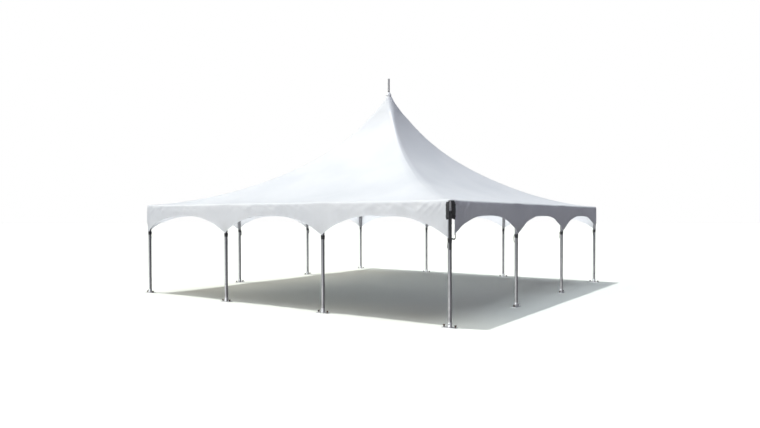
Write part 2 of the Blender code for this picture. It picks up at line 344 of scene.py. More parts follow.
def moved(place=(0, 0, 0), toward=None, turn=0.0):      # a frame whose +Z points toward a direction
    lean = still if toward is None else Vector(toward).to_track_quat("Z", "Y").to_matrix().to_4x4()
    return Matrix.Translation(place) @ lean @ Matrix.Rotation(turn, 4, "Z")


def sideSpin(side):     # turns what was made for the front side to another side
    return Matrix.Rotation(side * math.pi / 2, 4, "Z")


def laid(part, place, slot=0):      # moves a part and gives it one of its piece's materials
    bmesh.ops.transform(part, matrix=place, verts=part.verts)
    for face in part.faces:
        face.material_index = slot
    return part


def boltParts(spot, outward, slot, size=0.009):     # a head, the end of its screw and a washer
    parts = (prismPart(6, size, 0, size * 0.65, 0.0006), rodPart(size * 0.55, 0, size * 1.15, 0.0006, 16),
             tubePart(size * 1.35, size * 0.5, -0.0006, 0.0012, 0.0003, 24))
    return [laid(part, moved(spot, outward), slot) for part in parts]


def lengthsOf(points):      # length along a path to each of its points
    total = [0.0]
    for first, second in zip(points, points[1:]):
        total.append(total[-1] + (second - first).length)
    return total


def meshOf(name, part):
    mesh = bpy.data.meshes.new(name)
    part.to_mesh(mesh)
    part.free()
    mesh.shade_smooth()
    return mesh


def gathered(name, parts, crease=38):       # edges that turn more than the crease's degrees stay crisp
    whole = bmesh.new()
    carrier = bpy.data.meshes.new("carrier")
    for part in parts:
        part.to_mesh(carrier)
        part.free()
        whole.from_mesh(carrier)
    bpy.data.meshes.remove(carrier)
    mesh = meshOf(name, whole)
    mesh.set_sharp_from_angle(angle=math.radians(crease))
    return mesh


def showPiece(name, mesh, materials, replaced=(), place=None):
    if isinstance(mesh, list):
        mesh = gathered(name, mesh)
    if place is not None:
        mesh = mesh.copy()
        mesh.transform(place)
    for material in materials:
        mesh.materials.append(material)
    piece = linked(name, mesh)
    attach(piece, "root")
    if replaced:
        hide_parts(*replaced)
    return piece


def showEach(name, parts, materials, cadName, places):        # a copy at each of the named places
    mesh = gathered(name, parts)
    for ending, place in places.items():
        showPiece(f"{name}_{ending}", mesh, materials, [f"{cadName}_{ending}"], place)


def atCorners(place):
    return {name: sideSpin(side) @ place for side, name in enumerate(cornerNames)}


# The canopy's surface: roof, rounded eave and scalloped valance, as one sheet
canopyPlan = {
    "half": 4.627,          # middle of the tent to the valance's outer face
    "eaveHeight": 2.3285, "rise": 3.31,
    "flareShare": 0.70, "flarePower": 1.6, "neckPower": 6.6,
    "sag": 0.10, "ripple": 0.004,
    "tug": 0.004,           # lift over the legs at the eave
    "proud": 0.0045,        # outer face above the frame's highest line
    "thick": 0.003,
    "throat": 0.047,        # radius of the opening round the mast
    "bendReach": 4.557, "bendRadius": 0.059,
    "bendTurn": 1.42,       # the eave's bend stops short of upright
    "lean": 0.012, "leanDepth": 0.17,       # and the valance's top leans in a little
    "hipRadius": 0.06, "hipGrowth": 0.085,      # of the hips half way down
    "cornerRadius": 0.028,
    "arch": 0.29, "tip": 0.70, "scallopPower": 2.6,
    "frontEnd": 4.572,      # where the front valance stops at the split corner
    "rightStart": -4.487,   # where the right valance starts
    "lipRows": 4,           # rows of the bend that go on round the split corner
    "dense": 3.9,           # the columns stand closer from here to the corner
    "eaveRings": [4.47, 4.52], "bendSteps": 6, "hangRows": 20,
}
foldPlan = {
    "wave": 0.008, "flutter": 0.009, "drape": 0.0055,
    "pucker": 0.0135, "tuck": 0.0075,       # close under the eave
    "fitted": 0.006,        # stands out over the fittings
    "tied": 0.013,          # drawn in at the tips
    "curl": 0.004,          # the hem's
    "lift": 0.005, "swell": 0.0055,     # the bend's, round the sleeves
    # start, run, height, width and end of the folds that are drawn down and away from the split corner
    "corner": ((4.51, 0.65, 0.010, 0.024, 0.26), (4.42, 0.95, 0.014, 0.028, 0.30),
               (4.30, 1.15, 0.012, 0.032, 0.24), (4.13, 1.25, 0.010, 0.040, 0.26),
               (3.90, 1.35, 0.007, 0.050, 0.20)),
}


def smoothStep(value):
    value = min(max(value, 0.0), 1.0)
    return value * value * (3 - 2 * value)


def hill(value, middle, width):
    return math.exp(-((value - middle) / width) ** 2)


def swirl(x, y, z):
    return noise.noise(Vector((x, y, z)))


def bendDrop(turned=canopyPlan["bendTurn"]):        # height of the eave's bend
    return canopyPlan["bendRadius"] * (1 - math.cos(turned))


def bendLength():
    return canopyPlan["bendRadius"] * canopyPlan["bendTurn"]


def leanIn(depth):      # depth below the bend
    return canopyPlan["lean"] * max(1 - depth / canopyPlan["leanDepth"], 0.0) ** 2


def bendOut(share):     # the share is 0 where the bend starts and 1 at the valance's top
    cloth = canopyPlan
    return cloth["bendReach"] + (cloth["half"] - leanIn(0) - cloth["bendReach"]) * share


def outerHeight(reach):
    cloth = canopyPlan
    share = 1 - reach / cloth["half"]
    height, slope, flare = 0, 0, cloth["flareShare"]
    for part, power in ((flare, cloth["flarePower"]), (1 - flare, cloth["neckPower"])):
        height += part * share ** power
        slope += part * power * share ** (power - 1)
    steep = cloth["rise"] / cloth["half"] * slope
    return cloth["eaveHeight"] + cloth["rise"] * height + cloth["proud"] * math.hypot(1, steep)


def hipRadius(reach):       # round at the throat, crisp below it, soft half way down, tight at the corner
    soft = canopyPlan["hipRadius"] + canopyPlan["hipGrowth"] * reach
    free = reach + (soft - reach) * smoothStep((reach - 0.10) / 0.35)
    tight = canopyPlan["cornerRadius"]
    return tight + (free - tight) * smoothStep((4.56 - reach) / 1.5)


def squarePoint(along, reach, radius):      # plan place on a rounded square, seen as the front side
    radius = min(radius, reach)
    flat = reach - radius
    lateral = abs(along) * reach
    if lateral <= flat:
        return Vector((along * reach, -reach))
    angle = (lateral - flat) / radius * eighthTurn
    return Vector((math.copysign(flat + radius * math.sin(angle), along), -flat - radius * math.cos(angle)))


def roofPoint(side, along, reach):
    cloth = canopyPlan
    share = reach / cloth["half"]
    rounding = smoothStep((reach - 0.10) / 0.45)
    sag = cloth["sag"] * rounding * 6.75 * share * (1 - share) ** 2 * (1 - along * along)
    place = squarePoint(along, reach, hipRadius(reach))
    ripple = cloth["ripple"] * smoothStep((reach - 0.6) / 1.2) * smoothStep((4.5 - reach) / 0.6) \
        * swirl(along * reach * 1.1 + side * 9.0, reach * 0.8, 3.7)
    tug = cloth["tug"] * hill(reach, 4.56, 0.28) \
        * (hill(abs(along) * cloth["half"], middleLeg, 0.10) + hill(abs(along), 1.0, 0.02))
    return sideSpin(side) @ Vector((place.x, place.y, outerHeight(reach) - sag + ripple + tug))


def roofNormal(side, along, reach, step=0.004):
    across = roofPoint(side, along + step, reach) - roofPoint(side, along - step, reach)
    down = roofPoint(side, along, reach + step) - roofPoint(side, along, reach - step)
    normal = down.cross(across).normalized()
    return normal if normal.z > 0 else -normal


def scallopDepth(position):
    cloth = canopyPlan
    if abs(position) >= plan["half"]:
        return cloth["tip"]
    phase = ((position + plan["half"]) / plan["bay"]) % 1.0
    return cloth["arch"] + (cloth["tip"] - cloth["arch"]) * abs(2 * phase - 1) ** cloth["scallopPower"]


def legDistance(position):
    return min(abs(abs(position) - middleLeg), abs(abs(position) - plan["half"]))


def nearLeg(position, width):
    return hill(legDistance(position), 0, width)


def hangShift(side, position, depth):       # how far the valance stands out from its plane
    fold = foldPlan
    free = smoothStep(legDistance(position) / 0.45)
    low = smoothStep((depth - 0.05) / 0.35)
    seed = side * 17.0
    sway = math.sin(position * 8.2 + side * 1.7 + 1.3 * math.sin(position * 1.9 + side))
    wave = fold["wave"] * sway * free * low
    flutter = fold["flutter"] * swirl(position * 2.6 + seed, depth * 2.0, 1.5) * low * free
    pucker = fold["pucker"] * swirl(position * 9.5 + depth * 8.0 + seed, depth * 5.0, 8.1) \
        * hill(depth, 0.12, 0.10)
    pucker += fold["tuck"] * swirl(position * 6.5 - depth * 15.0 + seed, depth * 2.5, 4.4) \
        * hill(depth, 0.08, 0.09)
    pucker *= 1 - 0.7 * nearLeg(position, 0.17)
    drape = fold["drape"] * swirl(position * 14.0 + seed, depth * 3.0, 5.2) * smoothStep((depth - 0.04) / 0.1)
    held = 0.35 + 0.65 * smoothStep(legDistance(position) / 0.06 + 0.25)
    shift = (wave + flutter + pucker + drape) * held
    shift += fold["fitted"] * nearLeg(position, 0.18) * hill(depth, 0.0, 0.12)
    shift -= fold["tied"] * nearLeg(position, 0.11) * smoothStep((depth - 0.38) / 0.3)
    shift += fold["curl"] * smoothStep((depth - scallopDepth(position) + 0.05) / 0.05) * free
    if side == 0 and position > 3.6:
        for start, run, height, width, end in fold["corner"]:
            line = start - run * (depth - 0.03) + 0.018 * swirl(depth * 5.0, start * 9.0, 2.2)
            between = smoothStep((depth - 0.02) / 0.07) * (1 - smoothStep((depth - end + 0.10) / 0.16))
            shift += height * hill(position, line, width) * between
    return shift


def hangPoint(side, position, depth):       # depth is measured from the end of the eave's bend
    cloth = canopyPlan
    top = outerHeight(cloth["bendReach"])
    if depth < 0:       # on the bend: -1 is its start on the roof, 0 its end on the valance
        angle = (1 + depth) * cloth["bendTurn"]
        bent = math.sin(angle) / math.sin(cloth["bendTurn"])
        swell = foldPlan["swell"] * nearLeg(position, 0.26) * math.sin(2 * angle)
        out = bendOut(bent) + hangShift(side, position, bendDrop()) * bent ** 2 + swell
        lift = foldPlan["lift"] * nearLeg(position, 0.18) * math.cos(angle) ** 2
        height = top - bendDrop(angle) + lift + swell
    else:
        out = cloth["half"] - leanIn(depth) + hangShift(side, position, depth + bendDrop())
        height = top - bendDrop() - depth
    place = squarePoint(position / cloth["half"], out, cloth["cornerRadius"])
    return sideSpin(side) @ Vector((place.x, place.y, height))


def hangOut(side, position):        # the direction away from the tent there
    reach, radius = canopyPlan["half"], canopyPlan["cornerRadius"]
    angle = max(abs(position / reach) * reach - (reach - radius), 0) / radius * eighthTurn
    return sideSpin(side) @ Vector((math.copysign(math.sin(angle), position), -math.cos(angle), 0))


# Columns round the tent, closer together near its corners
def mirrored(stops):
    return [-canopyPlan["half"]] + [-stop for stop in stops[:0:-1]] + stops


def columnPlaces():
    cloth = canopyPlan
    frontEnd, rightStart, dense = cloth["frontEnd"], -cloth["rightStart"], cloth["dense"]
    stops = [i * middleLeg / 27 for i in range(27)]
    stops += [middleLeg + i * (dense - middleLeg) / 42 for i in range(42)]
    stops += [dense + i * (rightStart - dense) / 40 for i in range(40)]
    stops += [rightStart + i * (frontEnd - rightStart) / 4 for i in range(4)]
    return mirrored(stops + [frontEnd, 4.599, 4.606, 4.613, 4.620])


def roofStops():        # the roof needs fewer columns than the valance
    stops = [i * 0.23 for i in range(16)] + [3.45 + i * 0.11 for i in range(1, 9)]
    return mirrored(stops + [4.44, 4.53, 4.599])


def ringReaches():
    rings = [0.058, 0.072, 0.086, 0.10, 0.12, 0.145, 0.175, 0.21, 0.25, 0.30, 0.36, 0.43]
    return [canopyPlan["throat"]] + rings + [0.50 + i * (4.42 - 0.50) / 39 for i in range(40)]


def canopyColumns():        # each column's side and place along it, and which of them the roof uses
    places = columnPlaces()
    perSide = len(places)
    columns = [(side, position) for side in range(4) for position in places]
    coarse = sorted({min(range(perSide), key=lambda i: abs(places[i] - stop)) for stop in roofStops()})
    return columns, [side * perSide + i for side in range(4) for i in coarse]


def canopyRows():       # the roof's last row, and the bend's first and last
    lastRoof = len(ringReaches()) - 1
    firstBend = lastRoof + 1 + len(canopyPlan["eaveRings"])
    return lastRoof, firstBend, firstBend + canopyPlan["bendSteps"]


def canopyPoints(shape, columns, roofColumns):
    cloth, grid = canopyPlan, {}        # (row, column) to vertex, place along its side and length down
    reaches, lower, rows, bendSteps = ringReaches(), cloth["eaveRings"], cloth["hangRows"], cloth["bendSteps"]
    lastRoof, firstBend, lastBend = canopyRows()
    run = lengthsOf([roofPoint(0, 0, reach) for reach in reaches + lower + [cloth["bendReach"]]])
    soil = shape.verts.layers.float.new("soil")
    slack = shape.verts.layers.float.new("slack")

    def put(row, column, point, down, soilShare, slackShare):
        vert = shape.verts.new(point)
        vert[soil] = soilShare
        vert[slack] = slackShare
        grid[row, column] = (vert, columns[column][1], down)

    def putRoof(row, column, reach, soilShare, slackShare):
        side, position = columns[column]
        put(row, column, roofPoint(side, position / cloth["half"], reach), run[row], soilShare, slackShare)

    for row, reach in enumerate(reaches):
        for column in roofColumns:
            putRoof(row, column, reach, 0.35 * hill(reach, 0, 0.25), 0.0)
    for column, (side, position) in enumerate(columns):
        for step, reach in enumerate(lower, 1):
            putRoof(lastRoof + step, column, reach, 0.02, 0.10 * step)
        for step in range(bendSteps + 1):
            bend = -1 + step / bendSteps
            down = run[-1] + (1 + bend) * bendLength()
            put(firstBend + step, column, hangPoint(side, position, bend), down, 0.03,
                0.35 + 0.45 * (1 + bend))
        deep = scallopDepth(position) - bendDrop()
        for step in range(1, rows + 1):
            depth = deep * (1 - (1 - step / rows) ** 1.15)
            byLeg = 0.25 * nearLeg(position, 0.10) * smoothStep((depth - 0.3) / 0.2)
            put(lastBend + step, column, hangPoint(side, position, depth), run[-1] + bendLength() + depth,
                0.05 + 0.30 * math.exp((depth - deep) / 0.05) + byLeg, 0.30 + 0.70 * math.exp(-depth / 0.16))
    return grid


def canopyFaces(shape, grid, columns, roofColumns):
    cloth, uvLayer = canopyPlan, shape.loops.layers.uv["cloth"]
    count, start = len(columns), columns[0][1]
    lastRoof, firstBend, lastBend = canopyRows()

    def addFace(*keys):
        verts, positions, downs = zip(*(grid[key] for key in keys))
        wraps = start in positions and max(positions) > 0
        for loop, position, down in zip(shape.faces.new(verts).loops, positions, downs):
            if wraps and position == start:
                position = cloth["half"]        # the shared corner column, read from the side before it
            loop[uvLayer].uv = (position, down)

    neighbours = list(zip(roofColumns, roofColumns[1:] + roofColumns[:1]))
    for row in range(lastRoof):
        for here, there in neighbours:
            addFace((row, here), (row + 1, here), (row + 1, there), (row, there))
    for here, there in neighbours:      # from the roof's few columns to all of them
        between = [column % count for column in range(here, there + 1 + (0 if there > here else count))]
        addFace((lastRoof, here), *((lastRoof + 1, column) for column in between), (lastRoof, there))
    splitFrom, splitTo = columns.index((0, cloth["frontEnd"])), columns.index((1, cloth["rightStart"]))
    for row in range(lastRoof + 1, lastBend + cloth["hangRows"]):
        for here in range(count):
            if splitFrom <= here < splitTo and row >= firstBend + cloth["lipRows"]:
                continue        # the open corner, below the eave's lip
            there = (here + 1) % count
            addFace((row, here), (row + 1, here), (row + 1, there), (row, there))


def makeCanopy():
    shape = bmesh.new()
    shape.loops.layers.uv.new("cloth")
    columns, roofColumns = canopyColumns()
    canopyFaces(shape, canopyPoints(shape, columns, roofColumns), columns, roofColumns)
    bmesh.ops.delete(shape, geom=[vert for vert in shape.verts if not vert.link_faces], context="VERTS")
    mesh = meshOf("canopy", shape)
    replaced = [f"{part}_{name}" for part in ("canopy", "valance") for name in sideNames]
    canopy = showPiece("canopy", mesh, [vinyl], replaced)
    wall = canopy.modifiers.new("Wall", "SOLIDIFY")
    wall.thickness = canopyPlan["thick"]
    wall.offset = -1
    area = sum(polygon.area for polygon in mesh.polygons)
    print("canopy made,", len(mesh.polygons), "faces,", round(area, 2), "square metres")
    return canopy, area


canopy, canopyArea = makeCanopy()


# Strips of cloth and webbing are lofted through rings of points
def loftPart(rings, uvName=None, uvRows=None, capped=True):
    part = bmesh.new()
    uvLayer = part.loops.layers.uv.new(uvName) if uvName else None
    grid = [[part.verts.new(point) for point in ring] for ring in rings]
    around = len(rings[0])
    for row in range(len(grid) - 1):
        for i in range(around):
            j = (i + 1) % around
            face = part.faces.new((grid[row][i], grid[row + 1][i], grid[row + 1][j], grid[row][j]))
            if uvLayer:
                spots = ((row, i), (row + 1, i), (row + 1, i + 1), (row, i + 1))
                for loop, (down, across) in zip(face.loops, spots):
                    loop[uvLayer].uv = (uvRows[1][across], uvRows[0][down])
    if capped:
        part.faces.new(grid[0])
        part.faces.new(grid[-1][::-1])
    bmesh.ops.recalc_face_normals(part, faces=part.faces)
    return part


def clothPart(rings, spread, capped=True):      # its pattern is spread evenly round each ring
    run = lengthsOf([ring[2] for ring in rings])
    return loftPart(rings, "cloth", (run, [spread * i for i in range(len(rings[0]) + 1)]), capped)


def bandPart(path, across, outward, width, thick, capped=True):     # a flat strap along a path
    ways = [side if isinstance(side, list) else [side] * len(path) for side in (across, outward)]
    rings, half = [], width / 2
    for point, side, out in zip(path, *ways):
        side, out = side.normalized() * half, out.normalized() * thick / 2
        rings.append([point - side - out, point - side * 0.97 + out, point + side * 0.97 + out,
                      point + side - out])
    return loftPart(rings, "strap", (lengthsOf(path), (-half, -half, half, half, half + thick)), capped)


def aheadOf(path, i):
    return path[min(i + 1, len(path) - 1)] - path[max(i - 1, 0)]


# Welded seams between the roof's strips, up the hips and round the peak
seamPlan = {
    "places": (0.762, 2.286, 3.81), "end": 4.55, "width": 0.042, "hipWidth": 0.055,
    "lift": 0.0013, "sunk": -0.0009,        # the seam's face over the cloth, and its edges in it
    "collar": 0.34, "collarLift": 0.0014,
}


def seamReaches(start):     # rings from there down to the eave
    return [reach for reach in ringReaches() if reach > start] + canopyPlan["eaveRings"] + [seamPlan["end"]]


def stripSeam(side, offset):        # up the roof at one distance from the side's middle
    lift, sunk, rings = seamPlan["lift"], seamPlan["sunk"], []
    start = abs(offset) / 0.985 + 0.02
    for reach in [start] + seamReaches(start + 0.02):
        along = offset / reach
        centre, face = roofPoint(side, along, reach), roofNormal(side, along, reach)
        ahead = roofPoint(side, along + 0.004 / reach, reach) - centre
        across = (ahead - face * ahead.dot(face)).normalized() * (seamPlan["width"] / 2)
        rings.append([centre + across * share + face * rise
                      for share, rise in ((-1.0, sunk), (-0.93, lift), (0.93, lift), (1.0, sunk))])
    run, low, high = lengthsOf([ring[1] for ring in rings]), offset - 0.02, offset + 0.02
    return loftPart(rings, "cloth", (run, (low, low, high, high, offset)))


def hipSeam(side):      # a strip bent over the hip to the next side
    lift, sunk, rings, following = seamPlan["lift"], seamPlan["sunk"], [], (side + 1) % 4
    for reach in seamReaches(0.3):
        face = (roofNormal(side, 0.995, reach) + roofNormal(following, -0.995, reach)).normalized()
        ring = []
        for share in (-1, -0.93, -0.45, 0, 0.45, 0.93, 1):
            width = abs(share) * seamPlan["hipWidth"] / 2 / reach
            where = (side, 1.0 - width) if share <= 0 else (following, width - 1.0)
            ring.append(roofPoint(*where, reach) + face * (sunk if abs(share) == 1 else lift))
        rings.append(ring)
    return clothPart(rings, 0.01)


def peakCollar():       # the doubled cloth below the peak's cap
    collar, lift, rings = seamPlan["collar"], seamPlan["collarLift"], []
    flats = ((0.09, 0.0002), (0.09, lift), (0.16, lift), (0.25, lift), (collar - 0.006, lift),
             (collar, -0.0004), (0.16, -0.0012))
    for i in range(96):
        side, along = i // 24, i % 24 / 12 - 1
        rings.append([roofPoint(side, along, reach) + roofNormal(side, along, reach) * rise
                      for reach, rise in flats])
    return clothPart(rings + rings[:1], 0.03, capped=False)


def makeSeams():
    parts = []
    for side in range(4):
        parts += [stripSeam(side, place * sign) for place in seamPlan["places"] for sign in (-1, 1)]
        parts.append(hipSeam(side))
    return showPiece("canopySeams", parts + [peakCollar()], [vinyl])


seams = makeSeams()


# The hem: a folded binding over the valance's lower edge, and down both sides of the split
hemPlan = {"width": 0.026, "proud": 0.0011, "sunk": 0.0006, "round": 0.0016}


def makeHem():
    binding, cloth, rings = hemPlan, canopyPlan, []
    thick, places = cloth["thick"], columnPlaces()
    order = [(1, position) for position in places if position >= cloth["rightStart"]]
    order += [(side, position) for side in (2, 3) for position in places]
    order += [(0, position) for position in places if position <= cloth["frontEnd"]]
    for side, position in order:
        deep = scallopDepth(position) - bendDrop()
        out = hangOut(side, position)
        edge, upper = hangPoint(side, position, deep), hangPoint(side, position, deep - binding["width"])
        rise = upper - edge
        outer, inner = out * binding["proud"], -out * (thick + binding["proud"])
        rings.append([upper - out * binding["sunk"], upper - rise * 0.06 + outer, edge + outer,
                      edge - rise.normalized() * binding["round"] - out * thick / 2, edge + inner,
                      upper - rise * 0.06 + inner, upper - out * (thick - binding["sunk"])])
    return showPiece("canopyHem", [clothPart(rings, 0.008)], [vinyl])


hem = makeHem()
print("seams and hem made")


# Legs: drawn tube with broken edges, open at the top
legPlan = {"low": 0.0083, "high": 2.2457, "wall": 0.0025, "edge": 0.0006}


def legSpots():         # each leg's name and its centre on the floor, three to a side
    spots = {}
    for side, name in enumerate(sideNames):
        for step, ending in enumerate(("corner", "1", "2")):
            corner = Vector((step * plan["bay"] - plan["half"], -plan["half"], 0))
            spots[f"{name}_{ending}"] = sideSpin(side) @ corner
    return spots


def makeLegs():
    tube, leg = plan["leg"], legPlan
    part = tubePart(tube, tube - leg["wall"], leg["low"], leg["high"], leg["edge"], 48)
    places = {name: moved(spot) for name, spot in legSpots().items()}
    showEach("legTube", [part], [legMetal], "leg", places)


makeLegs()


# Feet: a zinc plate with a welded collar and a tee screw, pinned by two forged stakes
footPlan = {
    "length": 0.30, "width": 0.14, "thick": 0.008, "corner": 0.018,
    "collar": 0.044, "collarHigh": 0.098, "screwHigh": 0.064,
    "stakeReach": 0.119, "stakeRadius": 0.0125, "headRadius": 0.0235, "headHigh": 0.052,
    "nut": 0.0085, "nutHigh": 0.0055, "nutAlong": 0.066, "nutAcross": 0.045,
}


def stakePart():
    radius, head, high = footPlan["stakeRadius"], footPlan["headRadius"], footPlan["headHigh"]
    return turnedPart([(0, 0.0005), (radius, 0.0005), (radius, high - 0.020), (head * 0.92, high - 0.016),
                       (head, high - 0.012), (head, high - 0.006), (head * 0.86, high - 0.001),
                       (head * 0.45, high), (0, high)], 24)


def makeFeet():
    foot, thick = footPlan, footPlan["thick"]
    plate = cubePart((foot["length"], foot["width"], thick), moved(up * (thick / 2)))
    bevelled(plate, [edge for edge in plate.edges if edge.calc_length() < 0.01], foot["corner"], 6)
    level = [edge for edge in plate.edges if edge.verts[0].co.z == edge.verts[1].co.z]
    bevelled(plate, [edge for edge in level if edge.calc_face_angle(0) > 1], 0.0012)
    bore = plan["leg"] + plan["play"]
    collar = tubePart(foot["collar"], bore, thick - 0.001, foot["collarHigh"], 0.001, 48)
    weld = laid(ringPart(foot["collar"] + 0.001, 0.0045, 40), moved(up * (thick + 0.0005)))
    screw = moved((0, -foot["collar"], foot["screwHigh"]), (0, -1, 0))
    handle = moved((0, -foot["collar"] - 0.027, foot["screwHigh"]), (1, 0, 0))
    parts = [plate, collar, weld, laid(prismPart(6, 0.011, 0, 0.008, 0.0008), screw, 2),
             laid(rodPart(0.0055, 0.0, 0.030, 0.0008), screw, 2),
             laid(rodPart(0.0045, -0.026, 0.026), handle, 2)]
    for sign in (-1, 1):
        stake, lip = sign * foot["stakeReach"], ringPart(foot["stakeRadius"] + 0.0022, 0.0016, 24, 8)
        parts.append(laid(stakePart(), moved((stake, 0, 0)), 1))
        parts.append(laid(lip, moved((stake, 0, thick))))
        for across in (foot["nutAcross"], -foot["nutAcross"]):
            nut = prismPart(6, foot["nut"], 0, foot["nutHigh"], 0.0007)
            parts.append(laid(nut, moved((sign * foot["nutAlong"], across, thick)), 2))
    places = {}
    for index, (name, spot) in enumerate(legSpots().items()):
        side, step = divmod(index, 3)
        places[name] = moved(spot, turn=side * math.pi / 2 if step else side // 2 * math.pi)
    showEach("footPlate", parts, [zinc, forged, wire], "base", places)


makeFeet()
print("legs and feet made")


# Eave rails: a tube through two sleeved tees
railPlan = {
    "reach": 4.5257, "wall": 0.0025, "sleeve": 0.0362, "sleeveHalf": 0.12, "socket": 0.043, "socketLow": 0.16,
    "boltAlong": 0.085, "boltLow": -0.125,
    "gusset": (0.055, 0.006, 0.055), "gussetAlong": 0.046, "gussetLow": -0.042,
}


def socketPart(outer, low, high, inside="tube"):        # a sleeve with a rolled lip at low, its open end
    bore = plan[inside] + plan["play"]
    lip = outer + 0.0018
    return turnedPart([(bore, low), (outer + 0.0003, low), (lip, low + 0.0015), (lip, low + 0.008),
                       (outer, low + 0.0105), (outer, high), (bore, high)], 48)


def neckPart(outer, top):       # the rounded head over a leg's socket
    return turnedPart([(0, top), (outer * 0.45, top - 0.001), (outer * 0.80, top - 0.007),
                       (outer * 0.95, top - 0.016), (outer, top - 0.028), (outer, top - 0.050),
                       (0, top - 0.050)], 48)


def makeRails():
    rail, tube = railPlan, plan["tube"]
    sleeve, socket, back = rail["sleeve"], rail["socket"], (0, 1, 0)
    length = tubePart(tube, tube - rail["wall"], -rail["reach"], rail["reach"], 0.0006)
    parts = [laid(length, moved(toward=(1, 0, 0)))]
    for leg in (-middleLeg, middleLeg):
        for way in (1, -1):
            half = socketPart(sleeve, -rail["sleeveHalf"], 0.001)
            parts.append(laid(half, moved((leg, 0, 0), (way, 0, 0)), 1))
        parts.append(laid(socketPart(socket, -rail["socketLow"], -0.050, "leg"), moved((leg, 0, 0)), 1))
        parts.append(laid(neckPart(socket, -0.006), moved((leg, 0, 0)), 1))
        for sign in (-1, 1):
            parts += boltParts((leg + sign * rail["boltAlong"], sleeve - 0.0007, 0), back, 2)
            spot = (leg + sign * rail["gussetAlong"], 0, rail["gussetLow"])
            lie = moved(spot) @ Matrix.Rotation(eighthTurn, 4, "Y")
            parts.append(laid(blockPart(rail["gusset"], 0.0015), lie, 1))
        parts += boltParts((leg, socket - 0.0005, rail["boltLow"]), back, 2)
    mesh = gathered("eaveRail", parts)
    for side, name in enumerate(sideNames):
        materials = [depthMetal if side % 2 else crossMetal, zinc, wire]
        place = sideSpin(side) @ moved((0, -plan["half"], plan["railHeight"]))
        showPiece("eaveRail_" + name, mesh, materials, ["rail_" + name], place)


makeRails()


# Corner fittings: three sockets round a ball, with the cable's lug
cornerPlan = {
    "ball": 0.0372, "sleeveLong": 0.16, "boltIn": 0.045,
    "lug": (0.062, 0.012, 0.050), "lugRound": 0.020, "lugSpot": (0.064, -0.082),       # inward and up
    "web": (0.075, 0.006, 0.060), "webSpot": (0.048, -0.046),
}


def makeCorners():
    rail, corner = railPlan, cornerPlan
    ball = bmesh.new()
    bmesh.ops.create_uvsphere(ball, u_segments=32, v_segments=20, radius=corner["ball"])
    parts = [ball, neckPart(rail["socket"], 0.032)]
    for way, long, wide, inside in (((1, 0, 0), corner["sleeveLong"], rail["sleeve"], "tube"),
                                    ((0, 1, 0), corner["sleeveLong"], rail["sleeve"], "tube"),
                                    ((0, 0, -1), rail["socketLow"], rail["socket"], "leg")):
        inward = tuple(-value for value in way)
        parts.append(laid(socketPart(wide, -long, -0.012, inside), moved(toward=inward)))
        way = Vector(way)
        aside = Vector((1, 1, 0)) - way * Vector((1, 1, 0)).dot(way)
        parts += boltParts(way * (long - corner["boltIn"]) + aside.normalized() * (wide - 0.0008), aside, 1)
    lug = cubePart(corner["lug"])
    outerEdges = [edge for edge in lug.edges if all(vert.co.x > 0 for vert in edge.verts)
                  and abs(edge.verts[0].co.y - edge.verts[1].co.y) > 0.001]
    bevelled(lug, outerEdges, corner["lugRound"], 6)
    bevelled(lug, [edge for edge in lug.edges if edge.calc_face_angle(0) > 1], 0.001)
    web = blockPart(corner["web"], 0.0015)
    for part, (inward, rise) in ((lug, corner["lugSpot"]), (web, corner["webSpot"])):
        spot = Vector((1, 1, 0)).normalized() * inward + up * rise
        parts.append(laid(part, moved(spot, turn=eighthTurn)))
    places = atCorners(moved((-plan["half"], -plan["half"], plan["railHeight"])))
    showEach("cornerFitting", parts, [zinc, wire], "corner", places)


makeCorners()
print("rails and corners made")


# Cables: six-strand wire rope with two shackles and a turnbuckle, drawn along +X and then laid in place
cablePlan = {
    "radius": 0.0060, "strands": 6, "twist": 0.095, "step": 0.0135,
    "start": (-4.5063, -4.5063, 2.210), "end": (-0.0603, -0.0603, 2.132),
    "turnbuckle": (0.075, 0.365), "eye": 0.015, "bar": 0.0045,
    "bow": 0.017, "gap": 0.012,         # the shackle's radius, and half its opening
}


def circled(radius, turns):
    return [(radius * math.cos(turn), radius * math.sin(turn)) for turn in turns]


def shackleParts(pin, far):     # a bow from its pin to the far end of its loop, along X
    cable = cablePlan
    sign = 1 if far > pin else -1
    bow = circled(cable["bow"], [math.pi * i / 14 - math.pi / 2 for i in range(15)])
    bar = circled(cable["bar"], [math.tau * k / 10 for k in range(10)])
    loop = [Vector((far - sign * cable["bow"] + sign * x, y, 0)) for x, y in bow]
    path = [Vector((pin, -cable["gap"], 0)), *loop, Vector((pin, cable["gap"], 0))]
    rings = []
    for i, point in enumerate(path):
        aside = aheadOf(path, i).normalized().cross(up)
        rings.append([point + aside * x + up * z for x, z in bar])
    across = moved((pin, 0, 0), (0, 1, 0))
    return [loftPart(rings), laid(rodPart(0.0048, -0.020, 0.020, 0.0008, 16), across),
            laid(prismPart(6, 0.0085, -0.023, -0.017, 0.0006), across)]


def ropePart(first, last):      # its strands are ridges that turn round it
    cable, rings = cablePlan, []
    for i in range(int((last - first) / cable["step"]) + 1):
        x = first + i * cable["step"]
        ring = []
        for angle in [math.tau * k / 12 for k in range(12)]:
            radius = cable["radius"] * (0.80 + 0.20 * abs(math.cos(angle * cable["strands"] / 2)))
            ring.append((x, *circled(radius, [angle + math.tau * x / cable["twist"]])[0]))
        rings.append(ring)
    return loftPart(rings)


